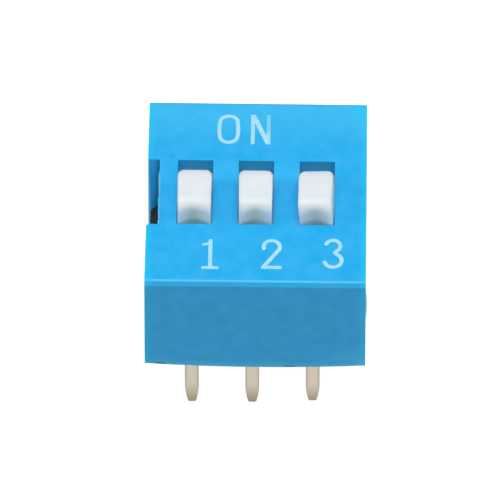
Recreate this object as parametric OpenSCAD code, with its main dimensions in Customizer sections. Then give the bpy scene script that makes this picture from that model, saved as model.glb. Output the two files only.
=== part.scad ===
// Three-position slide DIP switch for through-hole mounting, in millimetres.
// X runs along the row of positions, from 1 to 3. Y runs from the numbered side to the ON side.
// Z is up. The origin is the centre of the seating plane, under the moulded base.
// Every actuator is drawn at the numbered side, which is OFF, and slides towards +Y to ON.

/* [Switch grid] */
// Distance between neighbouring positions
pitch = 2.54; // [2.4:0.01:2.7]
// Distance between the two rows of terminals
row_gap = 7.62; // [7.2:0.01:8.4]

/* [Cover] */
// Centre of position 1 to the end face next to it
end_margin_1 = 2.0; // [1.9:0.02:2.2]
// Centre of position 3 to the end face next to it
end_margin_3 = 2.06; // [1.8:0.02:2.3]
// Row of terminals to the long face of the cover
side_margin = 1.14; // [1.05:0.01:1.5]
// Height of the cover above the seating plane
cover_h = 5.45; // [5.2:0.05:6.4]
// Thickness of the top wall
top_t = 0.8; // [0.6:0.05:1.0]
// Thickness of the two long walls
long_wall = 0.7; // [0.5:0.05:0.8]
// Inside width of the cell that each actuator slides in
cell_w = 2.08; // [1.96:0.02:2.2]
// How much further each end face stands out at its foot than at the top
draft = 0.04; // [0.02:0.01:0.08]
// Width of the 45 degree cut along the top edge on the numbered side
edge_cut = 0.18; // [0.06:0.02:0.4]
// Width of the same cut on the ON side
rear_cut = 0.1; // [0.06:0.02:0.4]
// Rise of the lower edge from its middle to its ends
edge_bow = 0.18; // [0.02:0.02:0.3]
// Radius of the moulding gate's mark on the end at position 3
gate_r = 0.76; // [0.3:0.02:0.78]
// Height that the gate's mark stands out
gate_proud = 0.06; // [0.02:0.005:0.08]
// Height of the gate's mark above the seating plane
gate_z = 3.05; // [2.5:0.05:4.2]
// Gate's mark from the numbered long face
gate_inset = 0.95; // [0.8:0.05:2.0]

/* [Slots and end recess] */
// Width of each slot
slot_w = 1.47; // [1.46:0.01:1.7]
// Length of each slot
slot_l = 3.46; // [3.2:0.02:4.0]
// Depth of the recess in the end at position 1
recess_depth = 0.5; // [0.3:0.01:0.5]
// Length of that recess
recess_l = 3.5; // [3.0:0.05:4.2]

/* [Base] */
// Thickness of the moulded base
base_t = 1.6; // [1.4:0.05:1.8]
// Height of the base's tab in the end recess
tab_h = 2.5; // [1.9:0.05:2.8]
// Width of the 45 degree cut along the top of the tab's outer face
tab_cut = 0.35; // [0.05:0.05:0.35]
// Height of the foot that carries the tab under the end wall
foot_h = 0.5; // [0.35:0.05:0.8]
// Gap between the tab's face and the end face of the cover
tab_inset = 0.08; // [0.02:0.01:0.1]
// Radius of the latch ridges on the long sides
latch_r = 0.12; // [0.08:0.01:0.16]
// Length of each latch ridge
latch_l = 1.8; // [1.0:0.1:2.2]
// Height of the latch ridges above the seating plane
latch_z = 0.8; // [0.6:0.05:1.0]

/* [Actuators] */
// Width of the knob at its middle
nub_w = 1.42; // [1.38:0.01:1.44]
// Length of the knob
nub_l = 2.36; // [1.96:0.02:2.4]
// Height of the knob above the cover
nub_h = 1.18; // [0.8:0.02:1.24]
// Rounding of the knob's top towards the numbered side
nub_front_r = 0.55; // [0.3:0.05:0.6]
// Rounding of the knob's top towards the ON side
nub_back_r = 0.85; // [0.1:0.05:0.9]
// Rounding of the knob's top along its sides
nub_side_r = 0.12; // [0.05:0.01:0.2]
// Rounding of the knob's upright corners towards the ON side
nub_corner_r = 0.24; // [0.1:0.02:0.3]
// Rounding of its upright corners towards the numbered side
nub_front_corner_r = 0.1; // [0.05:0.01:0.3]
// Bulge of each side of the knob at its middle
nub_bulge = 0.03; // [0.01:0.005:0.05]
// Depth of the upright hollow in the knob's face towards the numbered side
hollow_depth = 0.16; // [0.06:0.01:0.2]
// Radius of that hollow
hollow_r = 1.05; // [1.05:0.05:2.0]
// Width of the stem that passes through the slot
stem_w = 1.4; // [1.2:0.02:1.4]
// Thickness of the flange that slides under the top wall
flange_t = 0.6; // [0.4:0.05:0.7]
// Length that the flange reaches past the slot's end at the limit
flange_lap = 0.12; // [0.05:0.01:0.3]
// Width of the carrier under the flange
carrier_w = 1.5; // [1.3:0.05:1.7]
// Length of the carrier
carrier_l = 2.1; // [1.8:0.05:2.4]
// Thickness of the carrier above its contact
carrier_roof = 0.4; // [0.2:0.05:0.6]
// Gap between the carrier's cheeks and the base
carrier_gap = 0.55; // [0.3:0.05:0.8]
// Lean of knob 3 towards knob 2, in degrees
knob_3_lean = 3.5; // [0:0.5:4]
// Turn of knob 3, in degrees
knob_3_turn = 1.4; // [0:0.1:1.8]

/* [Moving contacts] */
// Thickness of the strip
strip_t = 0.12; // [0.08:0.01:0.15]
// Width of the strip
strip_w = 0.9; // [0.6:0.05:1.0]
// Distance between the two contact points
tip_gap = 1.6; // [1.5:0.05:1.7]
// Length of the flat bar under the carrier's roof
bar_l = 0.7; // [0.5:0.05:0.9]
// Length of the upturned toe past each contact point
toe_l = 0.2; // [0.1:0.02:0.3]
// Rise of the toe
toe_rise = 0.16; // [0.08:0.02:0.2]

/* [Terminals] */
// Width of a leg
leg_w = 0.58; // [0.45:0.01:0.6]
// Thickness of the sheet
sheet_t = 0.25; // [0.2:0.01:0.3]
// Length of a leg below the seating plane
leg_drop = 3.6; // [3.0:0.05:3.8]
// How far the legs stand off the middle of their positions, towards position 1
leg_shift = 0.1; // [0.02:0.02:0.14]
// How much shorter leg 3 of the numbered row is
leg_3_short = 0.14; // [0.02:0.02:0.2]
// Length of the taper at the tip
taper_l = 1.1; // [0.7:0.02:1.2]
// Width of a leg's blunt tip
tip_w = 0.36; // [0.3:0.01:0.44]
// Rounding of the tip's corners
tip_r = 0.09; // [0.05:0.01:0.13]
// Width of the contact pad and of the leg's anchor inside the base
pad_w = 0.9; // [0.8:0.02:1.1]
// Outside radius of the bend
bend_r = 0.4; // [0.35:0.01:0.5]
// Height of the anchor's lower end above the seating plane
anchor_z = 0.5; // [0.3:0.05:0.8]
// Middle of the gap between the pads, from the centre line
pad_split_y = 0.5; // [0.45:0.01:0.55]
// Gap between the two pads of a position
pad_gap = 0.5; // [0.4:0.02:0.6]

/* [Print] */
// Width of a printed line
ink_w = 0.165; // [0.12:0.005:0.22]
// Thickness of the print
ink_t = 0.02; // [0.01:0.005:0.04]
// Height of a printed mark
mark_h = 1.6; // [1.3:0.02:1.8]
// Distance of the middle number from the numbered long face
number_inset = 1.63; // [1.3:0.01:1.7]
// How much further from that face each number stands than the one before it
number_rise = 0.05; // [0.01:0.01:0.08]
// Sideways shift of each number from its position
number_shift = 0.7; // [0:0.01:0.8]
// Distance of the word's middle from the ON long face
word_inset = 1.52; // [1.3:0.02:1.6]
// Sideways shift of the word from the middle of the cover
word_shift = -0.52; // [-0.7:0.02:0.7]
// Distance between the word's two letters
letter_step = 1.34; // [1.2:0.02:1.5]

/* [Clearances] */
// Between a flange and its cell, on each side
cell_clear = 0.05; // [0.03:0.01:0.1]
// Between a flange and the top wall
lift_clear = 0.04; // [0.02:0.01:0.08]
// Between a knob and the slot's end at each limit
stop_clear = 0.04; // [0.03:0.005:0.08]
// Between the base and the cover, and under the cover's ribs
base_clear = 0.03; // [0.01:0.01:0.06]
// Between a contact point and its pad
touch_clear = 0.02; // [0.01:0.005:0.04]
// Between a strip and each cheek of its carrier
cheek_clear = 0.02; // [0.01:0.005:0.04]

/* [Hidden] */

$fn = 48;
FINE = 96;
BROAD = 720; // facets of the wide, shallow arcs
over = 1; // how far a cutter runs past the face that it cuts

cover_blue = [0.16, 0.62, 0.91];
base_black = [0.11, 0.09, 0.09];
knob_white = [0.93, 0.95, 0.95];
tin = [0.80, 0.75, 0.67];
bronze = [0.80, 0.58, 0.33];
ink_white = [0.75, 0.90, 0.98];

// Outside and inside of the cover
end_1 = -pitch - end_margin_1;
end_3 = pitch + end_margin_3;
middle_x = (end_1 + end_3) / 2;
half_l = (end_3 - end_1) / 2;
half_w = row_gap / 2 + side_margin;
inner_half_l = pitch + cell_w / 2;
inner_half_w = half_w - long_wall;
rib_t = pitch - cell_w;
roof_z = cover_h - top_t;

// Base
base_half_l = inner_half_l - base_clear;
base_half_w = inner_half_w - base_clear;
recess_x = end_1 + recess_depth;
tab_half_w = recess_l / 2 - base_clear;
tab_x = end_1 + tab_inset;
tab_t = recess_x - base_clear - tab_x;

// Actuator, about its own middle
travel = slot_l - nub_l - 2 * stop_clear;
off_y = -travel / 2;
flange_w = cell_w - 2 * cell_clear;
flange_l = slot_l + travel + 2 * flange_lap;
flange_z = roof_z - lift_clear - flange_t;
ceiling_z = flange_z - carrier_roof;
carrier_z = base_t + carrier_gap;

// Moving contact, about the middle of its actuator
touch_z = base_t + touch_clear + strip_t / 2;
bar_z = ceiling_z - strip_t / 2;

// Terminals
row_y = row_gap / 2;
inner_bend_r = bend_r - sheet_t;
bend_y = row_y + sheet_t / 2 - bend_r;
bend_z = base_t - bend_r;

// Print
mark_half = mark_h / 2 - ink_w / 2;

function position_x(i) = (i - 2) * pitch;

// Radius of the arc that rises by rise at a distance reach from its lowest point
function arc_r(reach, rise) = (reach * reach + rise * rise) / (2 * rise);

// A box from its lowest to its highest corner
module block(low, high) translate(low) cube(high - low);

// A flat bar of width w from p to q, with round ends
module bar(p, q, w) {
    translate(p) rotate(atan2(q.y - p.y, q.x - p.x)) translate([0, -w / 2]) square([norm(q - p), w]);
    for (e = [p, q]) translate(e) circle(d = w);
}

// Bars from point to point
module path(points, w) for (i = [1:len(points) - 1]) bar(points[i - 1], points[i], w);

// Part of a ring of line width w, from angle a up to angle b, with round ends
module arc(r, w, a, b) {
    reach = 2 * r;
    steps = ceil((b - a) / 30);
    fan = [for (k = [0:steps]) let (t = a + (b - a) * k / steps) reach * [cos(t), sin(t)]];
    intersection() {
        difference() { circle(r + w / 2); circle(r - w / 2); }
        polygon(concat([[0, 0]], fan));
    }
    for (t = [a, b]) translate(r * [cos(t), sin(t)]) circle(d = w);
}

// A rectangle w wide along X and l long along Y, centred, whose corners are round:
// front_r at -Y and back_r at +Y
module round_rect(w, l, front_r, back_r) {
    for (end = [[-1, front_r], [1, back_r]]) {
        r = end[1];
        mirror([0, end[0] < 0 ? 1 : 0]) {
            translate([-w / 2, 0]) square([w, l / 2 - r]);
            translate([r - w / 2, 0]) square([w - 2 * r, l / 2]);
            for (x = [-1, 1]) translate([x * (w / 2 - r), l / 2 - r]) circle(r);
        }
    }
}

// An oval, centred and taller than it is wide, whose long sides bulge by a part of its width
module oval(w, h) {
    side_r = arc_r(h / 2, w * 0.12);
    intersection() {
        union() {
            square([w, h - w], center = true);
            for (s = [-1, 1]) translate([0, s * (h - w) / 2]) circle(d = w);
        }
        translate([side_r - w / 2, 0]) circle(side_r, $fn = BROAD);
        translate([w / 2 - side_r, 0]) circle(side_r, $fn = BROAD);
    }
}

// A block w wide and h high that stands on the X axis and has rounded top corners
module round_top(w, h, left_r, right_r) {
    translate([-w / 2, 0]) square([left_r, h - left_r]);
    translate([-w / 2 + left_r, 0]) square([w - left_r - right_r, h]);
    translate([w / 2 - right_r, 0]) square([right_r, h - right_r]);
    translate([-w / 2 + left_r, h - left_r]) circle(left_r, $fn = FINE);
    translate([w / 2 - right_r, h - right_r]) circle(right_r, $fn = FINE);
}

// A block w wide and h high that stands on the X axis and has its top corners cut at 45 degrees
module cut_top(w, h, left_c, right_c) {
    half = w / 2;
    polygon([[-half, 0], [half, 0], [half, h - right_c], [half - right_c, h],
             [left_c - half, h], [-half, h - left_c]]);
}

// Extrudes a Y-Z outline along X, centred
module along_x(l) rotate([90, 0, 90]) translate([0, 0, -l / 2]) linear_extrude(l) children();

// Extrudes an X-Z outline along Y, centred
module along_y(l) rotate([90, 0, 0]) translate([0, 0, -l / 2]) linear_extrude(l) children();

// Latch ridges of radius r at both long sides of the base
module latches(r, l) for (x = [-1, 1], y = [-1, 1])
    translate([x * pitch, y * base_half_w, latch_z]) rotate([0, 90, 0]) cylinder(r = r, h = l, center = true);

module cover() color(cover_blue) {
    bow_r = arc_r(half_l, edge_bow);
    difference() {
        translate([middle_x, 0, 0]) intersection() {
            along_x(4 * half_l) cut_top(2 * half_w, cover_h, edge_cut, rear_cut);
            along_y(4 * half_w) polygon([[-half_l - draft, 0], [half_l + draft, 0],
                                         [half_l, cover_h], [-half_l, cover_h]]);
        }
        // inside of the shell, with a rib left between neighbouring cells
        difference() {
            block([-inner_half_l, -inner_half_w, -over], [inner_half_l, inner_half_w, roof_z]);
            for (x = [-pitch / 2, pitch / 2])
                block([x - rib_t / 2, -half_w, base_t + base_clear], [x + rib_t / 2, half_w, cover_h]);
        }
        for (i = [1:3]) translate([position_x(i), 0, cover_h])
            cube([slot_w, slot_l, 2 * (top_t + over)], center = true);
        // lower edge, which rises towards both ends
        translate([middle_x, 0, 0]) along_y(2 * (half_w + over)) difference() {
            translate([-half_l - over, -over]) square([2 * (half_l + over), over + edge_bow]);
            translate([0, bow_r]) circle(bow_r, $fn = BROAD);
        }
        latches(latch_r + base_clear, latch_l + 2 * base_clear);
        // recess in the end at position 1, and the way under that end wall for the base's foot
        block([end_1 - over, -recess_l / 2, -over], [recess_x, recess_l / 2, cover_h + over]);
        block([end_1 - over, -recess_l / 2, -over], [-inner_half_l + over, recess_l / 2, foot_h + base_clear]);
    }
    // the gate's mark, a flat cone that starts inside the end wall
    gate_root = 0.1;
    gate_x = end_3 + draft * (1 - gate_z / cover_h);
    translate([gate_x - gate_root, gate_inset - half_w, gate_z]) rotate([0, 90, 0]) {
        cylinder(r = gate_r, h = gate_root);
        translate([0, 0, gate_root]) cylinder(r1 = gate_r, r2 = gate_r / 2, h = gate_proud);
    }
}

module base() color(base_black) difference() {
    cut = min(tab_cut, 0.9 * tab_t); // the cut leaves the tab a narrow top
    union() {
        block([-base_half_l, -base_half_w, 0], [base_half_l, base_half_w, base_t]);
        latches(latch_r, latch_l);
        block([tab_x, -tab_half_w, 0], [-base_half_l + over, tab_half_w, foot_h]);
        translate([tab_x, 0, 0]) along_y(2 * tab_half_w)
            polygon([[0, 0], [tab_t, 0], [tab_t, tab_h], [cut, tab_h], [0, tab_h - cut]]);
    }
    for (i = [1:3], side = [-1, 1]) terminal_shape(i, side);
}

// Round cutter from low to high for the hollow in the face of a knob and of its stem
module hollow(low, high) translate([0, hollow_depth - hollow_r - nub_l / 2, low])
    cylinder(r = hollow_r, h = high - low, $fn = FINE);

// Knob of an actuator: its side, end and plan outlines together, less the hollow
module knob() {
    root = 0.1; // how far the knob's foot dips into the slot
    h = nub_h + root;
    bulge_r = arc_r(nub_l / 2, nub_bulge);
    difference() {
        translate([0, 0, -root]) intersection() {
            along_x(2 * nub_w) round_top(nub_l, h, nub_front_r, nub_back_r);
            along_y(2 * nub_l) round_top(nub_w, h, nub_side_r, nub_side_r);
            linear_extrude(2 * h) intersection() {
                round_rect(nub_w, nub_l, nub_front_corner_r, nub_corner_r);
                translate([nub_w / 2 - bulge_r, 0]) circle(bulge_r, $fn = BROAD);
                translate([bulge_r - nub_w / 2, 0]) circle(bulge_r, $fn = BROAD);
            }
        }
        hollow(-over, nub_h + over);
    }
}

module actuator(i, lean = 0, turn = 0) color(knob_white) translate([position_x(i), off_y, 0]) {
    difference() {
        union() {
            translate([0, 0, flange_z]) linear_extrude(flange_t) square([flange_w, flange_l], center = true);
            block([-carrier_w / 2, -carrier_l / 2, carrier_z], [carrier_w / 2, carrier_l / 2, flange_z]);
            difference() {
                translate([0, 0, flange_z]) linear_extrude(cover_h - flange_z)
                    round_rect(stem_w, nub_l, nub_front_corner_r, nub_corner_r);
                hollow(flange_z + flange_t, cover_h + over);
            }
        }
        block([-strip_w / 2 - cheek_clear, -flange_l, carrier_z - over],
              [strip_w / 2 + cheek_clear, flange_l, ceiling_z]);
    }
    translate([0, 0, cover_h]) rotate([0, -lean, -turn]) knob();
}

module moving_contact(i) color(bronze) translate([position_x(i), off_y, 0]) {
    half = [[bar_l / 2, bar_z], [tip_gap / 2, touch_z], [tip_gap / 2 + toe_l, touch_z + toe_rise]];
    along_x(strip_w) {
        bar([-bar_l / 2, bar_z], [bar_l / 2, bar_z], strip_t);
        path(half, strip_t);
        mirror([1, 0]) path(half, strip_t);
    }
}

// Leg outline seen from the front: anchor, straight leg, curved taper and blunt tip.
// short is what the leg lacks of its full length
module leg_outline(short) {
    foot = short - leg_drop;
    taper_z = foot + taper_l;
    flank_r = arc_r(taper_l - tip_r, (leg_w - tip_w) / 2);
    translate([-pad_w / 2, anchor_z]) square([pad_w, bend_z - anchor_z]);
    translate([-leg_w / 2, taper_z]) square([leg_w, bend_z - taper_z]);
    intersection() {
        translate([-leg_w / 2, foot + tip_r]) square([leg_w, taper_l - tip_r]);
        translate([flank_r - leg_w / 2, taper_z]) circle(flank_r, $fn = BROAD);
        translate([leg_w / 2 - flank_r, taper_z]) circle(flank_r, $fn = BROAD);
    }
    translate([tip_r - tip_w / 2, foot]) square([tip_w - 2 * tip_r, 2 * tip_r]);
    for (s = [-1, 1]) translate([s * (tip_w / 2 - tip_r), foot + tip_r]) circle(tip_r);
}

// Terminal i of the front row (side -1) or the rear row (side 1)
module terminal_shape(i, side, short = 0) translate([position_x(i) - leg_shift, 0, 0]) {
    // the pad's inner end, measured towards its own row
    pad_end = side * pad_split_y + pad_gap / 2;
    mirror([0, side < 0 ? 1 : 0, 0]) {
        block([-pad_w / 2, pad_end, base_t - sheet_t], [pad_w / 2, bend_y, base_t]);
        along_x(pad_w) translate([bend_y, bend_z]) intersection() {
            difference() { circle(bend_r); circle(inner_bend_r); }
            square(bend_r);
        }
        translate([0, row_y, 0]) along_y(sheet_t) leg_outline(short);
    }
}

module terminal(i, side, short = 0) color(tin) terminal_shape(i, side, short);

// Printed marks, centred, with their tops towards +Y
module letter_o() {
    w = mark_h * 0.6;
    difference() {
        oval(w, mark_h);
        oval(w - 2 * ink_w, mark_h - 2 * ink_w);
    }
}

module letter_n() {
    x = mark_h * 0.205;
    foot = mark_h / 2;
    for (s = [-1, 1]) translate([s * x - ink_w / 2, -foot]) square([ink_w, mark_h]);
    // slanting stroke, as wide as the uprights
    slant = ink_w * 0.66;
    polygon([[-x - slant, foot], [-x + slant, foot], [x + slant, -foot], [x - slant, -foot]]);
}

module number_1() {
    foot_x = mark_h * 0.18;
    foot = mark_h / 2;
    flag_y = mark_half * 0.72;
    translate([-ink_w / 2, -foot]) square([ink_w, mark_h]);
    path([[-foot_x, -mark_half], [foot_x, -mark_half]], ink_w * 0.9);
    path([[-foot_x, flag_y], [0, flag_y + ink_w / 2]], ink_w * 0.75);
}

module number_2() {
    r = mark_h * 0.21;
    bowl_y = mark_half - r;
    end_angle = -38;
    foot_x = mark_h * 0.22;
    translate([0, bowl_y]) arc(r, ink_w, end_angle, 195);
    bowl_end = [r * cos(end_angle), bowl_y + r * sin(end_angle)];
    path([bowl_end, [-foot_x, -mark_half], [foot_x, -mark_half]], ink_w);
}

module number_3() {
    upper_r = mark_half * 0.42;
    lower_r = mark_half * 0.5;
    upper_y = mark_half - upper_r;
    lower_y = lower_r - mark_half;
    waist_angle = 60;
    upper_end = [upper_r * cos(waist_angle), upper_y - upper_r * sin(waist_angle)];
    lower_end = [lower_r * cos(waist_angle), lower_y + lower_r * sin(waist_angle)];
    waist = [mark_h * 0.045, (upper_end.y + lower_end.y) / 2];
    translate([0, upper_y]) arc(upper_r, ink_w, -waist_angle, 160);
    translate([0, lower_y]) mirror([0, 1]) arc(lower_r, ink_w, -waist_angle, 165);
    path([upper_end, waist, lower_end], ink_w);
}

module print(x, y) color(ink_white) translate([x, y, cover_h]) linear_extrude(ink_t) children();

module print_word() {
    print(word_shift - letter_step / 2, word_y) letter_o();
    print(word_shift + letter_step / 2, word_y) letter_n();
}

function number_y(i) = number_inset + (i - 2) * number_rise - half_w;
word_y = half_w - word_inset;

cover();
base();
actuator(1);  // actuator_1
actuator(2);  // actuator_2
actuator(3, lean = knob_3_lean, turn = knob_3_turn);  // actuator_3
moving_contact(1);  // moving_contact_1
moving_contact(2);  // moving_contact_2
moving_contact(3);  // moving_contact_3
terminal(1, -1);  // terminal_front_1
terminal(2, -1);  // terminal_front_2
terminal(3, -1, leg_3_short);  // terminal_front_3
terminal(1, 1);  // terminal_rear_1
terminal(2, 1);  // terminal_rear_2
terminal(3, 1);  // terminal_rear_3
print_word();  // print_on
print(position_x(1) + number_shift, number_y(1)) number_1();  // print_1
print(position_x(2) + number_shift, number_y(2)) number_2();  // print_2
print(position_x(3) + number_shift, number_y(3)) number_3();  // print_3
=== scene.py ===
"""Looks of a three-position slide DIP switch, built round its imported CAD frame.

Sizes are millimetres in the switch's own frame: X along the row, +Y towards ON, Z up,
with the seating plane at z = 0. MM turns them into metres when a mesh is finished.
"""
import math

import bmesh
import bpy
from mathutils import Matrix, Vector


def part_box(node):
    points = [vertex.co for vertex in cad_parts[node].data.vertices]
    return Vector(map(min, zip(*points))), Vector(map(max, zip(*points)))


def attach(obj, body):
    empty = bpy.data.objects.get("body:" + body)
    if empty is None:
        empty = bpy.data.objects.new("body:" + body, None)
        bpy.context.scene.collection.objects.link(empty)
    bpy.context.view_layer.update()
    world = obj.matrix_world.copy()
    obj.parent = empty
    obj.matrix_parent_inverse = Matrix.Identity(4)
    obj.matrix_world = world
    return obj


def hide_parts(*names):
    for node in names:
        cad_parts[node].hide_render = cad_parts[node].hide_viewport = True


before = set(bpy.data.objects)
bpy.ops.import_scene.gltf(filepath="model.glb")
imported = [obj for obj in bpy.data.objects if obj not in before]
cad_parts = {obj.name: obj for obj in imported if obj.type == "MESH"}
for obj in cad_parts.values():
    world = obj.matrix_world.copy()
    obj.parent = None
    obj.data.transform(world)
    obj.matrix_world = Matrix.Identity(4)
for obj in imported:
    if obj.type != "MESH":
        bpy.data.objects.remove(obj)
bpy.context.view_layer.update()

MM = 0.001
POSITIONS = (1, 2, 3)


# ---------------------------------------------------------------- sizes from the frame

def box_mm(name):
    """Lowest and highest corner of a CAD node, in millimetres."""
    low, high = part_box(name)
    return low / MM, high / MM


cover_low, cover_high = box_mm("cover")
COVER_H = cover_high.z
# The end faces lean outwards by the draft, and the gate's mark stands on the one at position 3.
DRAFT = 0.04
EDGE_BOW = 0.18
GATE_Z, GATE_PROUD = 3.05, 0.06


def flare(z):
    """How far an end face stands out at height z, against its top edge."""
    return DRAFT * (1 - z / COVER_H)


END_1, END_3 = cover_low.x + flare(EDGE_BOW), cover_high.x - GATE_PROUD - flare(GATE_Z)
MIDDLE_X, HALF_L = (END_1 + END_3) / 2, (END_3 - END_1) / 2
HALF_W = cover_high.y
leg_low, leg_high = box_mm("terminal_front_1")
rear_low, rear_high = box_mm("terminal_rear_1")
FLOOR_Z = leg_low.z
POSITION_X = {i: sum(c.x for c in box_mm(f"actuator_{i}")) / 2 for i in POSITIONS}
LEG_X = {i: sum(c.x for c in box_mm(f"terminal_front_{i}")) / 2 for i in POSITIONS}
PITCH = POSITION_X[2] - POSITION_X[1]
slider_low, slider_high = box_mm("actuator_2")
SLIDER_Y = (slider_low.y + slider_high.y) / 2

# Cover
TOP_T = 0.8
LONG_WALL = 0.7
CELL_W = 2.08
SLOT_W, SLOT_L = 1.47, 3.46
RECESS_DEPTH, RECESS_L = 0.5, 3.5
RECESS_MOUTH_R, RECESS_FAR_R = 0.13, 0.09
EDGE_CUT, REAR_CUT = 0.18, 0.1
FOOT_H = 0.53
GATE_R = 0.76
GATE_INSET = 0.95
BASE_T = 1.6
BASE_GAP = 0.03
# The flash along the recess's inner wall as waves: height, radians for each millimetre, and phase
FLASH_WAVES = ((0.020, 4.4, 0.9), (0.016, 9.7, 2.1), (0.010, 21.0, 0.0))

# Actuators
KNOB_W, KNOB_L = 1.42, 2.36
KNOB_H = slider_high.z - COVER_H
KNOB_FRONT_R, KNOB_BACK_R, KNOB_SIDE_R = 0.55, 0.85, 0.12
KNOB_FRONT_CORNER_R, KNOB_BACK_CORNER_R = 0.1, 0.24
KNOB_BULGE = 0.03
KNOB_CROWN = 0.03
HOLLOW_DEPTH, HOLLOW_FULL = 0.16, 0.4
KNOB_ROOT = 0.3
ROOT_W = 1.435
STEM_W = 1.4
# Heights over which the root widens into the knob, and the stem into the root
ROOT_STEP, STEM_STEP = 0.03, 0.05
LIFT = 0.04
FLANGE_T = 0.6
CARRIER_W, CARRIER_L, CARRIER_ROOF, CARRIER_GAP = 1.5, 2.1, 0.4, 0.55
POCKET_W = 0.94
LEAN = {1: 0.0, 2: 0.0, 3: 3.5}
TURN = {1: 0.0, 2: 0.0, 3: 1.4}

# Legs
SHEET_T = 0.25
LEG_W, PAD_W = 0.58, leg_high.x - leg_low.x
TAPER_L, TIP_W, TIP_R = 1.1, 0.36, 0.09
LEG_3_SHORT = box_mm("terminal_front_3")[0].z - FLOOR_Z
BEND_R = 0.4
# Height at which a leg narrows from its pad's width to its own, within the step
ANCHOR_Z, ANCHOR_STEP = 0.5, 0.001

# Rounding of the edges, crisper on the slots
EDGE_R, SLOT_EDGE_R = 0.03, 0.01
# Cutting shapes reach BEYOND the part and start at the height UNDER. Joined shapes share an OVERLAP.
BEYOND, UNDER, OVERLAP = 1, -2, 0.1


# ---------------------------------------------------------------- mesh helpers

def link(name, data):
    """A new object with this data, in the scene."""
    obj = bpy.data.objects.new(name, data)
    bpy.context.scene.collection.objects.link(obj)
    return obj


def object_from(name, bm):
    """A mesh object from bm, with every face turned outwards."""
    bmesh.ops.recalc_face_normals(bm, faces=bm.faces)
    mesh = bpy.data.meshes.new(name)
    bm.to_mesh(mesh)
    bm.free()
    return link(name, mesh)


def band(bm, lower, upper):
    """Faces between two closed rings of vertices."""
    for k in range(len(lower)):
        n = (k + 1) % len(lower)
        bm.faces.new((lower[k], lower[n], upper[n], upper[k]))


def prism(outline, axis, low, high, name="prism"):
    """A closed prism. The outline lies in the plane across the axis: (y, z), (x, z) or (x, y)."""
    place = {
        "x": lambda a, b, t: (t, a, b),
        "y": lambda a, b, t: (a, t, b),
        "z": lambda a, b, t: (a, b, t),
    }[axis]
    bm = bmesh.new()
    ends = [[bm.verts.new(place(a, b, t)) for a, b in outline] for t in (low, high)]
    bm.faces.new(ends[0])
    bm.faces.new(ends[1])
    band(bm, *ends)
    return object_from(name, bm)


def block(low, high, name="block"):
    (x0, y0, z0), (x1, y1, z1) = low, high
    return prism([(x0, y0), (x1, y0), (x1, y1), (x0, y1)], "z", z0, z1, name)


def block_at(x, half_w, half_l, low, high, name="block"):
    """A block between two heights, with its middle at x and at y = 0."""
    return block((x - half_w, -half_l, low), (x + half_w, half_l, high), name)


def settle(obj):
    """Replaces an object's mesh by what its modifiers make of it."""
    depsgraph = bpy.context.evaluated_depsgraph_get()
    mesh = bpy.data.meshes.new_from_object(obj.evaluated_get(depsgraph))
    old = obj.data
    obj.modifiers.clear()
    obj.data = mesh
    mesh.name = obj.name
    bpy.data.meshes.remove(old)
    return obj


def combine(obj, tool, operation):
    """Joins the tool to an object, takes it away or keeps what they share, and spends the tool."""
    step = obj.modifiers.new(operation.title(), "BOOLEAN")
    step.operation = operation
    step.solver = "EXACT"
    step.object = tool
    settle(obj)
    spent = tool.data
    bpy.data.objects.remove(tool)
    bpy.data.meshes.remove(spent)
    return obj


def cut(obj, tool):
    return combine(obj, tool, "DIFFERENCE")


def add(obj, tool):
    return combine(obj, tool, "UNION")


def clean(obj, flat=math.radians(0.5), merge=0.0005):
    """Merges doubles and takes out the edges that boolean steps leave across flat faces."""
    bm = bmesh.new()
    bm.from_mesh(obj.data)
    bmesh.ops.remove_doubles(bm, verts=bm.verts, dist=merge)
    bmesh.ops.dissolve_limit(bm, angle_limit=flat, verts=bm.verts, edges=bm.edges)
    bm.to_mesh(obj.data)
    bm.free()
    return obj


def round_edges(obj, width, segments=3, angle=35.0):
    """Rounds every edge sharper than the angle."""
    bevel = obj.modifiers.new("Bevel", "BEVEL")
    bevel.width = width
    bevel.segments = segments
    bevel.limit_method = "ANGLE"
    bevel.angle_limit = math.radians(angle)
    bevel.miter_outer = "MITER_ARC"
    bevel.harden_normals = False
    return settle(obj)


def soften(obj, width, segments=3, angle=35.0):
    """Rounds every edge sharper than the angle, and keeps the faces between them flat."""
    round_edges(obj, width, segments, angle)
    for face in obj.data.polygons:
        face.use_smooth = True
    weighted = obj.modifiers.new("Weighted", "WEIGHTED_NORMAL")
    weighted.mode = "FACE_AREA"
    weighted.weight = 100
    return settle(obj)


def to_metres(obj):
    obj.data.transform(Matrix.Scale(MM, 4))
    return obj


def arc(centre, radius, start, end, steps):
    """Points on a circular arc, angles in degrees, both ends included."""
    angles = (math.radians(start + (end - start) * k / steps) for k in range(steps + 1))
    return [(centre[0] + radius * math.cos(t), centre[1] + radius * math.sin(t)) for t in angles]


# ---------------------------------------------------------------- materials

# The cover's painted shade, painted highlights and reflections, pale flash and dark specks, in the order
# in which one
# lies over the other: painted shade, then painted highlights and reflections with the flash, then a
# painted highlight on the end faces' edges, last painted shade in the end recess with the specks
COVER_LIGHT_SHADE_AND_MARKS = {
    "Painted Shade": (0.03, 0.37, 0.66, 1),
    "Highlight And Flash": (0.08, 0.62, 1.0, 1),
    "End": (0.003, 0.64, 1.0, 1),
    "Recess Shade And Specks": (0.006, 0.13, 0.22, 1),
}
# Place along X and reach to either side of each speck on the lower edge of the front
SPECKS = ((-3.91, 0.3), (1.46, 0.38))
# A warmer tint for a knob's hollow, set against the blue light the cover throws there, and painted shade
# for its foot
KNOB_YELLOW, KNOB_FOOT_SHADE = (0.98, 0.87, 0.71, 1), (0.60, 0.87, 0.93, 1)
FAINT_INK = (0.03, 0.62, 0.98, 1)
TIN_LIGHT, TIN_DARK, TIN_DULL = (0.62, 0.545, 0.435, 1), (0.55, 0.475, 0.375, 1), (0.28, 0.24, 0.155, 1)
BRONZE_COLOUR = (0.66, 0.40, 0.18, 1)
# Height of the finest relief on any surface
RELIEF = 0.01


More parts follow.
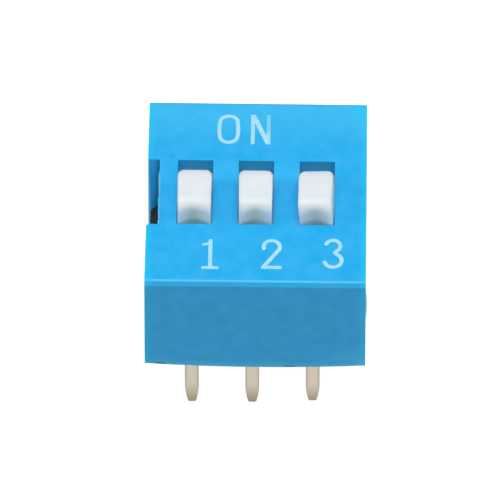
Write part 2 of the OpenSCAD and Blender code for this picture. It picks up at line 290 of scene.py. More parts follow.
def node(tree, kind, **inputs):
    """A new node, with values for the inputs that are named."""
    made = tree.nodes.new(kind)
    for key, value in inputs.items():
        made.inputs[key.replace("_", " ")].default_value = value
    return made


def feed(tree, socket, value):
    """Gives a socket a number, a colour or what another socket gives."""
    if isinstance(value, (int, float, tuple)):
        socket.default_value = value
    else:
        tree.links.new(value, socket)


def new_material(name):
    material = bpy.data.materials.new(name)
    material.use_nodes = True
    tree = material.node_tree
    shader = tree.nodes["Principled BSDF"]
    return material, tree, shader


def group_with(name, inputs, outputs):
    """An empty shader node group with these sockets: name, kind and default."""
    tree = bpy.data.node_groups.new(name, "ShaderNodeTree")
    for label, kind, default in inputs:
        socket = tree.interface.new_socket(label, in_out="INPUT", socket_type=kind)
        socket.default_value = default
    for label, kind in outputs:
        tree.interface.new_socket(label, in_out="OUTPUT", socket_type=kind)
    return tree, tree.nodes.new("NodeGroupInput"), tree.nodes.new("NodeGroupOutput")


def maths(tree, operation, a, b=0.0):
    """One step of arithmetic on numbers and sockets."""
    made = tree.nodes.new("ShaderNodeMath")
    made.operation = operation
    for socket, value in zip(made.inputs, (a, b)):
        feed(tree, socket, value)
    return made.outputs[0]


def product(tree, first, *others):
    for other in others:
        first = maths(tree, "MULTIPLY", first, other)
    return first


def highest(tree, first, *others):
    for other in others:
        first = maths(tree, "MAXIMUM", first, other)
    return first


def apart(tree, value, place):
    """How far a value lies from a place, to whichever side."""
    return maths(tree, "ABSOLUTE", maths(tree, "SUBTRACT", value, place))


def from_nearest(tree, x, first):
    """How far x lies from the nearest of the places that follow the first one at every pitch."""
    return maths(tree, "PINGPONG", maths(tree, "SUBTRACT", x, first - PITCH), PITCH / 2)


def ramp(tree, value, start, end, low=0.0, high=1.0, rise="SMOOTHSTEP"):
    """Low up to the start, high from the end on, and a rise between them."""
    made = node(tree, "ShaderNodeMapRange", From_Min=start, From_Max=end, To_Min=low, To_Max=high)
    made.interpolation_type = rise
    tree.links.new(value, made.inputs["Value"])
    return made.outputs[0]


def blend(tree, factor, a, b):
    """A colour between a and b, each of which is a colour or a socket."""
    made = tree.nodes.new("ShaderNodeMix")
    made.data_type = "RGBA"
    # sockets 6 and 7 are the node's pair for colours
    for socket, value in ((made.inputs["Factor"], factor), (made.inputs[6], a), (made.inputs[7], b)):
        feed(tree, socket, value)
    return made.outputs[2]


def place_mm(tree):
    """X, Y and Z in the object's own millimetres."""
    coords = tree.nodes.new("ShaderNodeTexCoord")
    scale = tree.nodes.new("ShaderNodeVectorMath")
    scale.operation = "SCALE"
    scale.inputs["Scale"].default_value = 1 / MM
    tree.links.new(coords.outputs["Object"], scale.inputs[0])
    split = tree.nodes.new("ShaderNodeSeparateXYZ")
    tree.links.new(scale.outputs["Vector"], split.inputs[0])
    return split.outputs


def add_relief(tree, shader, height, strength):
    """Fine relief on a surface, from heights between 0 and 1."""
    relief = node(tree, "ShaderNodeBump", Strength=strength, Distance=RELIEF * MM)
    tree.links.new(height, relief.inputs["Height"])
    tree.links.new(relief.outputs["Normal"], shader.inputs["Normal"])


def cover_light_shade_group():
    """Painted shade on the cover's slot walls, cuts and end recess, painted highlights and reflections
    on its edges and top, and its pale flash and dark specks.

    Each mask is 0 where the colour is left alone and 1 where it has turned all the way.
    """
    grey = (0.5, 0.5, 0.5, 1)
    labels = ["Colour"] + [f"{kind} Colour" for kind in COVER_LIGHT_SHADE_AND_MARKS]
    tree, given, made = group_with(
        "used cover", [(label, "NodeSocketColor", grey) for label in labels],
        [("Colour", "NodeSocketColor")])

    def fade(value, start, end, full=1.0):
        """A mask that is 0 up to the start, and full from the end on. It may run downwards."""
        return ramp(tree, value, start, end, 0.0, full)

    def below(value, limit):
        return maths(tree, "LESS_THAN", value, limit)

    margin = 0.03
    x, y, z = place_mm(tree)
    aside = maths(tree, "ABSOLUTE", y)
    from_middle = apart(tree, x, MIDDLE_X)
    bow = product(tree, maths(tree, "POWER", maths(tree, "DIVIDE", from_middle, HALF_L), 2.0), EDGE_BOW)
    above_edge = maths(tree, "SUBTRACT", z, bow)
    below_top = fade(z, COVER_H - 0.02, COVER_H - 0.1)
    in_recess = fade(aside, RECESS_L / 2 + margin, RECESS_L / 2 + 0.01)
    recess_wall = END_1 + RECESS_DEPTH
    front_line, rear_line = EDGE_CUT - HALF_W, HALF_W - REAR_CUT

    # painted shade: the slots' walls, the face of the front cut and the narrow cut along the ON side
    slot_walls = product(
        tree, below(from_nearest(tree, x, POSITION_X[1]), SLOT_W / 2 + margin),
        below(aside, SLOT_L / 2 + margin), below(from_middle, 1.5 * PITCH), below_top)
    front_cut = product(
        tree, fade(y, front_line, front_line - 0.05, 0.5),
        fade(z, COVER_H - EDGE_CUT - 0.03, COVER_H - EDGE_CUT + 0.01))
    rear_cut = product(
        tree, fade(y, rear_line - 0.09, rear_line - 0.03, 0.9), fade(z, COVER_H - 0.25, COVER_H - 0.12))

    # painted highlights and reflections: a highlight line on the ridge above the front cut, the floor's
    # reflection on the bowed lower edge, side light on a field and a corner above it at position 3,
    # light on the top near the ON side and on the top between the knobs, where it lifts their shade; and
    # the real pale flash along the end recess
    from_ridge = maths(tree, "SQRT", maths(
        tree, "ADD", maths(tree, "POWER", apart(tree, y, front_line), 2.0),
        maths(tree, "POWER", apart(tree, z, COVER_H), 2.0)))
    ridge = fade(from_ridge, 0.075, 0.03)
    rim = fade(above_edge, 0.5, 0.05, 0.6)
    field = product(tree, fade(above_edge, 1.6, 0.2), fade(x, 1.5, 4.6, 0.45))
    corner = product(tree, fade(above_edge, 1.2, 0.1), fade(x, END_3 - 0.8, END_3, 0.9))
    flash = product(
        tree, fade(apart(tree, x, recess_wall), 0.08, 0.03), in_recess,
        fade(z, COVER_H - 0.1, COVER_H - 0.02, 0.6))
    near_on = product(tree, fade(y, 1.9, 4.6, 0.42), fade(y, rear_line, rear_line - 0.06))
    between_knobs = product(
        tree, fade(aside, SLOT_L / 2 + 0.3, SLOT_L / 2 - 0.3, 0.17), fade(from_middle, 3.6, 3.1))

    # painted highlight: the edges of the end faces, most of all at position 3's corner on the ON side,
    # but not the middles of those faces
    ends = highest(
        tree, fade(from_middle, HALF_L - 0.4, HALF_L, 0.5),
        product(tree, fade(y, 3.6, 4.6), fade(x, END_3 - 0.9, END_3 - 0.2, 0.6)))
    at_edge = highest(
        tree, fade(aside, HALF_W - 0.5, HALF_W - 0.05), fade(z, COVER_H - 0.5, COVER_H - 0.05))

    # painted shade in the corners of the end recess, more widely towards their foot, and dark specks on
    # the lower edge
    into_recess = maths(
        tree, "ADD", maths(tree, "SUBTRACT", x, END_1),
        product(tree, maths(tree, "SUBTRACT", COVER_H, z), 0.05))
    recess_shade_and_specks = product(
        tree, fade(into_recess, 0.2, 0.6, 0.8), below_top, in_recess, below(x, recess_wall + 0.06),
        fade(aside, RECESS_L / 2 - 0.5, RECESS_L / 2 - 0.02))
    low_front = product(tree, fade(above_edge, 0.16, 0.1), fade(y, 0.2 - HALF_W, 0.1 - HALF_W))
    for speck_x, reach in SPECKS:
        speck = product(tree, low_front, fade(apart(tree, x, speck_x), reach, 0.1, 0.7))
        recess_shade_and_specks = highest(tree, recess_shade_and_specks, speck)

    masks = {
        # painted shade; painted highlights with the real flash; painted highlight on the end edges;
        # painted recess shade with specks
        "Painted Shade": highest(tree, slot_walls, front_cut, rear_cut),
        "Highlight And Flash": highest(tree, ridge, rim, field, corner, flash, near_on, between_knobs),
        "End": product(tree, ends, at_edge),
        "Recess Shade And Specks": recess_shade_and_specks,
    }
    colour = given.outputs["Colour"]
    for kind in COVER_LIGHT_SHADE_AND_MARKS:
        colour = blend(tree, masks[kind], colour, given.outputs[f"{kind} Colour"])
    tree.links.new(colour, made.inputs["Colour"])
    return tree


def moulded_group():
    """Moulded plastic: clouded colour, fine grain and uneven gloss, from the object's coordinates."""
    tree, given, made = group_with(
        "moulded plastic",
        [("Colour", "NodeSocketColor", (0.8, 0.8, 0.8, 1)),
         ("Cloud Colour", "NodeSocketColor", (0.7, 0.7, 0.7, 1)),
         ("Cloud Size", "NodeSocketFloat", 1.5),
         ("Grain Size", "NodeSocketFloat", 0.05),
         ("Roughness", "NodeSocketFloat", 0.4),
         ("Roughness Spread", "NodeSocketFloat", 0.08)],
        [("Colour", "NodeSocketColor"), ("Roughness", "NodeSocketFloat"), ("Height", "NodeSocketFloat")])
    coords = tree.nodes.new("ShaderNodeTexCoord")

    def noise_of(size, detail):
        texture = node(tree, "ShaderNodeTexNoise", Detail=detail, Roughness=0.55)
        tree.links.new(coords.outputs["Object"], texture.inputs["Vector"])
        tree.links.new(maths(tree, "DIVIDE", 1 / MM, given.outputs[size]), texture.inputs["Scale"])
        return texture.outputs[0]

    clouds, grain = noise_of("Cloud Size", 3.0), noise_of("Grain Size", 2.0)
    clouded = blend(tree, ramp(tree, clouds, 0.35, 0.65, rise="LINEAR"),
                    given.outputs["Colour"], given.outputs["Cloud Colour"])
    uneven = product(tree, maths(tree, "SUBTRACT", clouds, 0.5), given.outputs["Roughness Spread"])
    tree.links.new(clouded, made.inputs["Colour"])
    tree.links.new(maths(tree, "ADD", uneven, given.outputs["Roughness"]), made.inputs["Roughness"])
    tree.links.new(grain, made.inputs["Height"])
    return tree


MOULDED = moulded_group()


def moulded_plastic(name, colour, cloud, cloud_size, grain_size, roughness, bump,
                    specular=0.5, depth=0.0):
    """A moulded plastic. The depth is how far light spreads under its surface, in millimetres."""
    material, tree, shader = new_material(name)
    plastic = tree.nodes.new("ShaderNodeGroup")
    plastic.node_tree = MOULDED
    plastic.inputs["Colour"].default_value = (*colour, 1)
    plastic.inputs["Cloud Colour"].default_value = (*cloud, 1)
    plastic.inputs["Cloud Size"].default_value = cloud_size
    plastic.inputs["Grain Size"].default_value = grain_size
    plastic.inputs["Roughness"].default_value = roughness
    tree.links.new(plastic.outputs["Colour"], shader.inputs["Base Color"])
    tree.links.new(plastic.outputs["Roughness"], shader.inputs["Roughness"])
    add_relief(tree, shader, plastic.outputs["Height"], bump)
    shader.inputs["Specular IOR Level"].default_value = specular
    if depth:
        shader.inputs["Subsurface Weight"].default_value = 1.0
        shader.inputs["Subsurface Radius"].default_value = (1.0, 1.0, 1.0)
        shader.inputs["Subsurface Scale"].default_value = depth * MM
    return material


def base_colour(material):
    """A material's tree, its base colour's socket and what feeds that socket so far."""
    tree = material.node_tree
    socket = tree.nodes["Principled BSDF"].inputs["Base Color"]
    return tree, socket, socket.links[0].from_socket


def paint_cover_light_shade(material):
    """Paints the cover's shade and highlights, with its flash and specks, over a moulded plastic."""
    tree, colour, plain = base_colour(material)
    used = tree.nodes.new("ShaderNodeGroup")
    used.node_tree = cover_light_shade_group()
    for kind, tone in COVER_LIGHT_SHADE_AND_MARKS.items():
        used.inputs[f"{kind} Colour"].default_value = tone
    tree.links.new(plain, used.inputs["Colour"])
    tree.links.new(used.outputs["Colour"], colour)


def warm_and_shade_knob(material):
    """Warms a knob's face towards the numbers, most of all low in its hollow, against the blue light
    that the cover throws on it, and paints shade at its foot.
    """
    tree, colour, plain = base_colour(material)
    x, y, z = place_mm(tree)
    off_middle = from_nearest(tree, x, POSITION_X[1])
    on_face = ramp(tree, y, SLIDER_Y - 0.6, SLIDER_Y - 0.9)
    # a warmer tint low in the hollow, set against the blue light that the cover throws there
    low_down = product(
        tree, ramp(tree, z, COVER_H + 1.2, COVER_H + 0.4), on_face,
        ramp(tree, off_middle, 0.75, 0.1, 0.25, 1.0))
    # painted shade at the foot of the knob's face
    foot_shade = product(
        tree, ramp(tree, z, COVER_H + 0.22, COVER_H), on_face,
        ramp(tree, off_middle, 0.7, 0.2, 0.3, 1.0))
    tinted = blend(tree, low_down, plain, KNOB_YELLOW)
    tree.links.new(blend(tree, foot_shade, tinted, KNOB_FOOT_SHADE), colour)


def worn_print(material):
    """Lets the right stroke of the N fade towards its far end."""
    tree, colour, plain = base_colour(material)
    low, high = box_mm("print_on")
    height = high.y - low.y
    x, y, _ = place_mm(tree)
    faint = product(
        tree, ramp(tree, x, high.x - 0.32, high.x - 0.24),
        ramp(tree, y, low.y + 0.3 * height, low.y + 0.5 * height, 0.0, 0.6))
    tree.links.new(blend(tree, faint, plain, FAINT_INK), colour)


def tinned_metal():
    """Tin plate on bronze: faintly drawn along the leg, dull at its sheared edges and at its tip."""
    material, tree, shader = new_material("tinned_sheet")
    x, _, z = place_mm(tree)
    coords = tree.nodes.new("ShaderNodeTexCoord")
    stretch = node(tree, "ShaderNodeMapping", Scale=(9.0, 9.0, 0.7))
    tree.links.new(coords.outputs["Object"], stretch.inputs["Vector"])
    drawn = node(tree, "ShaderNodeTexNoise", Scale=1.1 / MM, Detail=3.0)
    tree.links.new(stretch.outputs["Vector"], drawn.inputs["Vector"])
    tone = blend(tree, drawn.outputs[0], TIN_LIGHT, TIN_DARK)
    near_tip = ramp(tree, z, FLOOR_Z + 1.2, FLOOR_Z - 0.1, rise="LINEAR")
    sheared = ramp(tree, from_nearest(tree, x, LEG_X[1]), LEG_W / 2 - 0.14, LEG_W / 2, 0.0, 0.55)
    dulled = blend(tree, highest(tree, near_tip, sheared), tone, TIN_DULL)
    tree.links.new(dulled, shader.inputs["Base Color"])
    shader.inputs["Metallic"].default_value = 0.75
    shader.inputs["Roughness"].default_value = 0.42
    add_relief(tree, shader, drawn.outputs[0], 0.15)
    return material


def bronze_metal():
    material, tree, shader = new_material("bronze_sheet")
    shader.inputs["Base Color"].default_value = BRONZE_COLOUR
    shader.inputs["Metallic"].default_value = 1.0
    coords = tree.nodes.new("ShaderNodeTexCoord")
    drawn = node(tree, "ShaderNodeTexNoise", Scale=3 / MM, Detail=2.0)
    tree.links.new(coords.outputs["Object"], drawn.inputs["Vector"])
    roughness = ramp(tree, drawn.outputs[0], 0.0, 1.0, 0.28, 0.42, "LINEAR")
    tree.links.new(roughness, shader.inputs["Roughness"])
    return material


BLUE = moulded_plastic(
    "blue_moulding", (0.010, 0.428, 0.87), (0.030, 0.468, 0.93),
    cloud_size=0.7, grain_size=0.06, roughness=0.42, bump=0.25, specular=0.25)
WHITE = moulded_plastic(
    "white_moulding", (0.84, 0.90, 0.93), (0.80, 0.87, 0.91),
    cloud_size=0.9, grain_size=0.05, roughness=0.38, bump=0.15, specular=0.4, depth=0.6)
BLACK = moulded_plastic(
    "black_moulding", (0.012, 0.014, 0.016), (0.018, 0.019, 0.021),
    cloud_size=0.8, grain_size=0.04, roughness=0.7, bump=0.4, specular=0.1)
INK = moulded_plastic(
    "printed_ink", (0.46, 0.82, 0.98), (0.34, 0.74, 0.97),
    cloud_size=0.22, grain_size=0.03, roughness=0.5, bump=0.2)
TIN = tinned_metal()
BRONZE = bronze_metal()
paint_cover_light_shade(BLUE)
warm_and_shade_knob(WHITE)
worn_print(INK)


def dress(obj, material):
    obj.data.materials.clear()
    obj.data.materials.append(material)
    return obj


# ---------------------------------------------------------------- cover

def recess_outline():
    """Plan of the end recess: a round mouth at both ends, and an inner wall left rough by its flash."""
    inner, outer = END_1 + RECESS_DEPTH, END_1 - BEYOND
    half = RECESS_L / 2
    steps = 40
    wall = []
    for k in range(steps + 1):
        y = half - RECESS_L * k / steps
        rough = sum(height * math.sin(rate * y + phase) for height, rate, phase in FLASH_WAVES)
        wall.append((inner + rough, y))
    near = arc((END_1 + RECESS_MOUTH_R, -half - RECESS_MOUTH_R), RECESS_MOUTH_R, 90, 180, 5)
    far = arc((END_1 + RECESS_FAR_R, half + RECESS_FAR_R), RECESS_FAR_R, 180, 270, 4)
    return [(outer, half + RECESS_FAR_R)] + far + wall + near + [(outer, -half - RECESS_MOUTH_R)]


def gate_mark(steps=8, sides=40):
    """The gate's mark: a soft, shallow dome on the end face, with a root inside the wall."""
    face_x, middle_y, root = END_3 + flare(GATE_Z), GATE_INSET - HALF_W, 0.2
    stations = [(-root, GATE_R)]
    for k in range(steps):
        outwards = 1 - k / steps
        stations.append((GATE_PROUD * (1 - outwards ** 2) ** 1.3, GATE_R * outwards))
    turns = [2 * math.pi * k / sides for k in range(sides)]
    bm = bmesh.new()
    rings = [[bm.verts.new((face_x + x, middle_y + r * math.cos(t), GATE_Z + r * math.sin(t)))
              for t in turns] for x, r in stations]
    for inner, outer in zip(rings, rings[1:]):
        band(bm, inner, outer)
    tip = bm.verts.new((face_x + GATE_PROUD, middle_y, GATE_Z))
    for k in range(sides):
        bm.faces.new((rings[-1][k], rings[-1][(k + 1) % sides], tip))
    bm.faces.new(rings[0])
    return object_from("gate_mark", bm)


def cover_shell():
    """The cover, open below: a prism along the row, cut to shape, with the gate's mark on its end."""
    inner_l, inner_w = PITCH + CELL_W / 2, HALF_W - LONG_WALL
    roof = COVER_H - TOP_T
    side = [(-HALF_W, -BEYOND), (HALF_W, -BEYOND),
            (HALF_W, COVER_H - REAR_CUT), (HALF_W - REAR_CUT, COVER_H),
            (EDGE_CUT - HALF_W, COVER_H), (-HALF_W, COVER_H - EDGE_CUT)]
    shell = prism(side, "x", END_1 - BEYOND, END_3 + BEYOND, "cover_shell")
    ends = [(END_1 - DRAFT, 0), (END_3 + DRAFT, 0), (END_3, COVER_H), (END_1, COVER_H)]
    combine(shell, prism(ends, "y", -HALF_W - BEYOND, HALF_W + BEYOND), "INTERSECT")
    # lower edge, bowed down at its middle
    bow_r = (HALF_L ** 2 + EDGE_BOW ** 2) / (2 * EDGE_BOW)
    past_end = BEYOND / 2
    reach = math.degrees(math.asin((HALF_L + past_end) / bow_r))
    bow = arc((MIDDLE_X, bow_r), bow_r, -90 - reach, -90 + reach, 40)
    bow += [(END_3 + past_end, UNDER), (END_1 - past_end, UNDER)]
    cut(shell, prism(bow, "y", -HALF_W - BEYOND, HALF_W + BEYOND))
    # three cells, joined under the ribs by the hollow that takes the base
    for x in POSITION_X.values():
        cut(shell, block_at(x, CELL_W / 2, inner_w, UNDER, roof))
    cut(shell, block_at(0, inner_l, inner_w, UNDER, BASE_T + BASE_GAP))
    # the end recess, open to the hollow at its foot
    cut(shell, prism(recess_outline(), "z", UNDER, COVER_H + BEYOND))
    into_hollow = BEYOND / 2 - inner_l
    cut(shell, block((END_1 - BEYOND, -RECESS_L / 2, UNDER), (into_hollow, RECESS_L / 2, FOOT_H)))
    clean(shell)
    round_edges(shell, EDGE_R)
    add(shell, gate_mark())
    # the slots, whose edges stay crisper than the rest
    for x in POSITION_X.values():
        cut(shell, block_at(x, SLOT_W / 2, SLOT_L / 2, roof - BEYOND / 2, COVER_H + BEYOND))
    clean(shell)
    soften(shell, SLOT_EDGE_R, 2)
    return dress(to_metres(shell), BLUE)


# ---------------------------------------------------------------- actuators

def ease(value, start, end):
    """0 at the start, 1 at the end and a smooth rise between them."""
    t = min(1.0, max(0.0, (value - start) / (end - start)))
    return t * t * (3 - 2 * t)


def drawn_in(z, radius):
    """How far a wall under a round top edge stands back at height z."""
    rise = max(0.0, z - (KNOB_H - radius))
    return radius - math.sqrt(max(0.0, radius ** 2 - rise ** 2))


def knob_outline(half, front, back, hollow):
    """Plan outline of a knob at one height. Its front face stands back by hollow at its middle."""
    near, far = KNOB_FRONT_CORNER_R, KNOB_BACK_CORNER_R
    outline = arc((half - far, back - far), far, 0, 90, 6)
    outline += arc((far - half, back - far), far, 90, 180, 6)
    outline += arc((near - half, front + near), near, 180, 270, 5)
    reach = half - near
    for k in range(-9, 10):
        x = reach * k / 10
        outline.append((x, front + hollow * (1 - (x / reach) ** 2) ** 2))
    return outline + arc((half - near, front + near), near, 270, 360, 5)


def knob(foot_z, steps=8):
    """Stem and knob as one loft of plan outlines, up from foot_z. Here z = 0 is the cover's top."""
    turn = [math.radians(90 * k / steps) for k in range(steps + 1)]
    levels = {foot_z, -KNOB_ROOT - STEM_STEP, -KNOB_ROOT, -ROOT_STEP}
    levels |= {round(KNOB_H * k / 12, 4) for k in range(12)}
    for radius in (KNOB_FRONT_R, KNOB_BACK_R, KNOB_SIDE_R):
        levels |= {round(KNOB_H - radius * (1 - math.sin(t)), 4) for t in turn}
    bm = bmesh.new()
    rings = []
    for z in sorted(levels):
        front = -KNOB_L / 2 + drawn_in(z, KNOB_FRONT_R)
        back = KNOB_L / 2 - drawn_in(z, KNOB_BACK_R)
        if z < 0:
            half = (STEM_W if z < -KNOB_ROOT else ROOT_W) / 2
        else:
            half = KNOB_W / 2 - drawn_in(z, KNOB_SIDE_R)
        bulge = 0.0 if z < 0 else KNOB_BULGE
        ring = []
        for x, y in knob_outline(half, front, back, HOLLOW_DEPTH * ease(z, KNOB_H, HOLLOW_FULL)):
            waist = bulge * min(1.0, (2 * y / KNOB_L) ** 2)
            crown = KNOB_CROWN * ease(z, 0, KNOB_H) * (x / half) ** 2
            ring.append(bm.verts.new((x * (1 - waist / half), y, z - crown)))
        rings.append(ring)
    for lower, upper in zip(rings, rings[1:]):
        band(bm, lower, upper)
    bm.faces.new(rings[0])
    bm.faces.new(rings[-1])
    return object_from("knob", bm)


def actuator(i):
    """Carrier and flange from boxes, with the lofted stem and knob on top."""
    roof = COVER_H - TOP_T - LIFT
    half_w, half_l = (slider_high.x - slider_low.x) / 2, (slider_high.y - slider_low.y) / 2
    flange_z = roof - FLANGE_T
    body = block_at(0, half_w, half_l, flange_z, roof, f"actuator_{i}_moulding")
    add(body, block_at(0, CARRIER_W / 2, CARRIER_L / 2, BASE_T + CARRIER_GAP, roof - OVERLAP))
    cut(body, block_at(0, POCKET_W / 2, half_l, 0, flange_z - CARRIER_ROOF))
    clean(body)
    soften(body, EDGE_R, 2)
    top = knob(roof - OVERLAP - COVER_H)
    lean = Matrix.Rotation(math.radians(-LEAN[i]), 4, "Y")
    turn = Matrix.Rotation(math.radians(-TURN[i]), 4, "Z")
    for v in top.data.vertices:
        if v.co.z > -KNOB_ROOT - STEM_STEP / 2:
            v.co = lean @ turn @ v.co
    top.data.transform(Matrix.Translation((0, 0, COVER_H)))
    add(body, top)
    body.data.transform(Matrix.Translation((POSITION_X[i], SLIDER_Y, 0)))
    for face in body.data.polygons:
        face.use_smooth = True
    return dress(to_metres(body), WHITE)


# ---------------------------------------------------------------- legs

def leg_half_width(above_tip):
    """Half a leg's width at a height above its tip: round corners, a curved taper, then straight."""
    reach, rise = TAPER_L - TIP_R, (LEG_W - TIP_W) / 2
    flank_r = (reach ** 2 + rise ** 2) / (2 * rise)
    if above_tip >= TAPER_L:
        return LEG_W / 2
    if above_tip >= TIP_R:
        return math.sqrt(flank_r ** 2 - (TAPER_L - above_tip) ** 2) - flank_r + LEG_W / 2
    return TIP_W / 2 - TIP_R + math.sqrt(max(0.0, TIP_R ** 2 - (TIP_R - above_tip) ** 2))


def leg_strip(name, row_y, pad_end, short):
    """The middle surface of one bent leg at x = 0, from its pad's inner end down to its tip."""
    side, out_y = (1 if row_y > 0 else -1), abs(row_y)
    middle_r, pad_z = BEND_R - SHEET_T / 2, BASE_T - SHEET_T / 2
    bend = arc((out_y - middle_r, pad_z - middle_r), middle_r, 0, 90, 6)
    stations = [(pad_end, pad_z, PAD_W / 2)]
    stations += [(y, z, PAD_W / 2) for y, z in reversed(bend)]
    stations += [(out_y, ANCHOR_Z + ANCHOR_STEP, PAD_W / 2), (out_y, ANCHOR_Z, LEG_W / 2)]
    heights = [TAPER_L - (TAPER_L - TIP_R) * k / 8 for k in range(9)]
    heights += [TIP_R * (1 - math.sin(math.radians(15 * k))) for k in range(1, 7)]
    stations += [(out_y, FLOOR_Z + short + h, leg_half_width(h)) for h in heights]
    bm = bmesh.new()
    rows = [[bm.verts.new((x, side * y, z)) for x in (-half, half)] for y, z, half in stations]
    for a, b in zip(rows, rows[1:]):
        bm.faces.new((a[0], a[1], b[1], b[0]))
    return object_from(name, bm)


def row_of_legs():
    """A node tree that repeats a leg along X, from the first one's place, and gives all a finish."""
    tree = bpy.data.node_groups.new("row of legs", "GeometryNodeTree")
    tree.interface.new_socket("Geometry", in_out="INPUT", socket_type="NodeSocketGeometry")
    for label, kind in (("Count", "NodeSocketInt"), ("First", "NodeSocketFloat"),
                        ("Pitch", "NodeSocketFloat"), ("Finish", "NodeSocketMaterial")):
        tree.interface.new_socket(label, in_out="INPUT", socket_type=kind)
    tree.interface.new_socket("Geometry", in_out="OUTPUT", socket_type="NodeSocketGeometry")
    given, made = tree.nodes.new("NodeGroupInput"), tree.nodes.new("NodeGroupOutput")
    line = tree.nodes.new("GeometryNodeMeshLine")
    start, step = (tree.nodes.new("ShaderNodeCombineXYZ") for _ in range(2))
    copies = tree.nodes.new("GeometryNodeInstanceOnPoints")
    real = tree.nodes.new("GeometryNodeRealizeInstances")
    finish = tree.nodes.new("GeometryNodeSetMaterial")
    connect = tree.links.new
    connect(given.outputs["Count"], line.inputs["Count"])
    connect(given.outputs["First"], start.inputs["X"])
    connect(start.outputs[0], line.inputs["Start Location"])
    connect(given.outputs["Pitch"], step.inputs["X"])
    connect(step.outputs[0], line.inputs["Offset"])
    connect(line.outputs["Mesh"], copies.inputs["Points"])
    connect(given.outputs["Geometry"], copies.inputs["Instance"])
    connect(copies.outputs["Instances"], real.inputs["Geometry"])
    connect(real.outputs["Geometry"], finish.inputs["Geometry"])
    connect(given.outputs["Finish"], finish.inputs["Material"])
    connect(finish.outputs["Geometry"], made.inputs["Geometry"])
    return tree


def socket_id(tree, label):
    return next(s.identifier for s in tree.interface.items_tree
                if s.item_type == "SOCKET" and s.in_out == "INPUT" and s.name == label)


def legs(name, row_y, pad_end, positions, tree, short=0.0):
    """The legs of one row at the given neighbouring positions, as one piece."""
    obj = leg_strip(name, row_y, pad_end, short)
    thick = obj.modifiers.new("Sheet", "SOLIDIFY")
    thick.thickness = SHEET_T
    thick.offset = 0
    thick.use_even_offset = True
    settle(obj)
    soften(obj, EDGE_R, 2, 40)
    repeat = obj.modifiers.new("Row", "NODES")
    repeat.node_group = tree
    for label, value in (("Count", len(positions)), ("First", LEG_X[positions[0]]),
                         ("Pitch", PITCH), ("Finish", TIN)):
        repeat[socket_id(tree, label)] = value
    settle(obj)
    return to_metres(obj)


# ---------------------------------------------------------------- build

cover = cover_shell()
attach(cover, "housing")
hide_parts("cover")

for i in POSITIONS:
    slider = actuator(i)
    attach(slider, f"slider_{i}")
    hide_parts(f"actuator_{i}")

leg_tree = row_of_legs()
FRONT_Y, FRONT_PAD = leg_low.y + SHEET_T / 2, -leg_high.y
REAR_Y, REAR_PAD = rear_high.y - SHEET_T / 2, rear_low.y
for name, row, row_y, pad_end, positions, short in (
        ("legs_front", "front", FRONT_Y, FRONT_PAD, (1, 2), 0.0),
        ("leg_front_short", "front", FRONT_Y, FRONT_PAD, (3,), LEG_3_SHORT),
        ("legs_rear", "rear", REAR_Y, REAR_PAD, POSITIONS, 0.0)):
    piece = legs(name, row_y, pad_end, positions, leg_tree, short)
    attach(piece, "housing")
    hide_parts(*[f"terminal_{row}_{i}" for i in positions])

for name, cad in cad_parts.items():
    if name == "base":
        dress(cad, BLACK)
    elif name.startswith("print"):
        dress(cad, INK)
    elif name.startswith("moving_contact"):
        dress(cad, BRONZE)


# ---------------------------------------------------------------- camera, light and floor

def camera():
    """A long lens from above the numbered side, a little towards position 3."""
    elevation, azimuth, roll = math.radians(50.47), math.radians(0.99), math.radians(0.10)
    # the view's width at the aim, and how far its middle lies off the aim
    distance, view_w = 350, 20.945
    aim = Vector((MIDDLE_X, 0, 2.7))
    left_of_aim, below_aim = 0.281, 0.642
    along = Vector((math.sin(azimuth), -math.cos(azimuth), 0))
    back = along * math.cos(elevation) + Vector((0, 0, math.sin(elevation)))
    right = Vector((math.cos(azimuth), math.sin(azimuth), 0))
    up = back.cross(right)
    right, up = (right * math.cos(roll) - up * math.sin(roll),
                 right * math.sin(roll) + up * math.cos(roll))
    data = bpy.data.cameras.new("camera")
    data.sensor_width = 36
    data.lens = data.sensor_width * distance / view_w
    data.clip_start, data.clip_end = 0.01, 10
    obj = link("camera", data)
    centre = aim - right * left_of_aim - up * below_aim
    turn = Matrix((right, up, back)).transposed().to_4x4()
    obj.matrix_world = Matrix.Translation((centre + back * distance) * MM) @ turn
    bpy.context.scene.camera = obj


def shown_white(tree):
    """1 for the rays that show the backdrop itself: camera, mirror and clear ones."""
    path = tree.nodes.new("ShaderNodeLightPath")
    kinds = ("Camera", "Glossy", "Transmission")
    return highest(tree, *(path.outputs[f"Is {kind} Ray"] for kind in kinds))


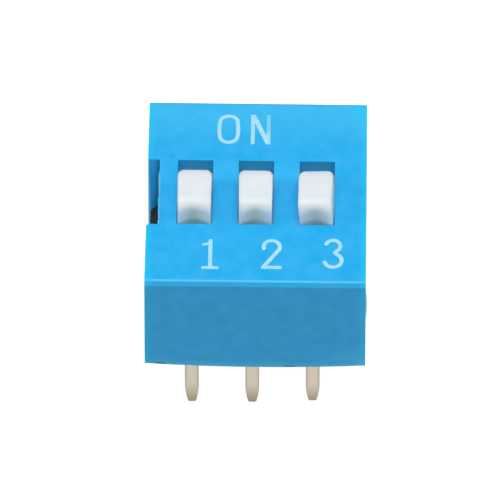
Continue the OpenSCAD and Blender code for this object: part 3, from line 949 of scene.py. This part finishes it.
def sky():
    """White where it is seen. As a light, it is strongest overhead and fades towards the horizon."""
    world = bpy.data.worlds.new("studio")
    bpy.context.scene.world = world
    world.use_nodes = True
    tree = world.node_tree
    tree.nodes.clear()
    coords = tree.nodes.new("ShaderNodeTexCoord")
    split = tree.nodes.new("ShaderNodeSeparateXYZ")
    tree.links.new(coords.outputs["Generated"], split.inputs[0])
    light = tree.nodes.new("ShaderNodeBackground")
    under_horizon, overhead, faintest, strongest = -0.1, 1.0, 0.02, 0.5
    strength = ramp(tree, split.outputs["Z"], under_horizon, overhead, faintest, strongest)
    tree.links.new(strength, light.inputs["Strength"])
    white = node(tree, "ShaderNodeBackground", Color=(1, 1, 1, 1))
    mix = tree.nodes.new("ShaderNodeMixShader")
    tree.links.new(shown_white(tree), mix.inputs[0])
    tree.links.new(light.outputs[0], mix.inputs[1])
    tree.links.new(white.outputs[0], mix.inputs[2])
    out = tree.nodes.new("ShaderNodeOutputWorld")
    tree.links.new(mix.outputs[0], out.inputs[0])


def softbox(name, place, size, level, target=(0, 0, 2.5)):
    """A round soft lamp whose face has the given brightness, aimed at the target."""
    data = bpy.data.lights.new(name, "AREA")
    data.shape = "DISK"
    data.size = size * MM
    face_area = math.pi * (size * MM / 2) ** 2
    data.energy = level * math.pi * face_area
    obj = link(name, data)
    where = Vector(place) * MM
    obj.location = where
    obj.rotation_euler = (Vector(target) * MM - where).to_track_quat("-Z", "Y").to_euler()


def floor():
    """A pale floor under the leg tips. It shows white, with the object's soft shadow on it."""
    reach, grey, own_light = 3000, 0.58, 0.86
    bm = bmesh.new()
    corners = ((-reach, -reach), (reach, -reach), (reach, reach), (-reach, reach))
    bm.faces.new([bm.verts.new((x, y, FLOOR_Z)) for x, y in corners])
    obj = to_metres(object_from("floor", bm))
    material, tree, shader = new_material("floor")
    shader.inputs["Base Color"].default_value = (grey, grey, grey, 1)
    shader.inputs["Roughness"].default_value = 0.9
    shader.inputs["Specular IOR Level"].default_value = 0.0
    glow = node(tree, "ShaderNodeEmission", Strength=own_light)
    both = tree.nodes.new("ShaderNodeAddShader")
    tree.links.new(shader.outputs[0], both.inputs[0])
    tree.links.new(glow.outputs[0], both.inputs[1])
    mix = tree.nodes.new("ShaderNodeMixShader")
    tree.links.new(shown_white(tree), mix.inputs[0])
    tree.links.new(shader.outputs[0], mix.inputs[1])
    tree.links.new(both.outputs[0], mix.inputs[2])
    tree.links.new(mix.outputs[0], tree.nodes["Material Output"].inputs[0])
    dress(obj, material)


camera()
sky()
floor()
softbox("overhead", (0, -42, 145), size=120, level=3.4)
for side in (-1, 1):
    softbox(f"side_{side}", (140 * side, 0, 70), size=90, level=2.8)

bpy.context.scene.view_settings.view_transform = "Standard"
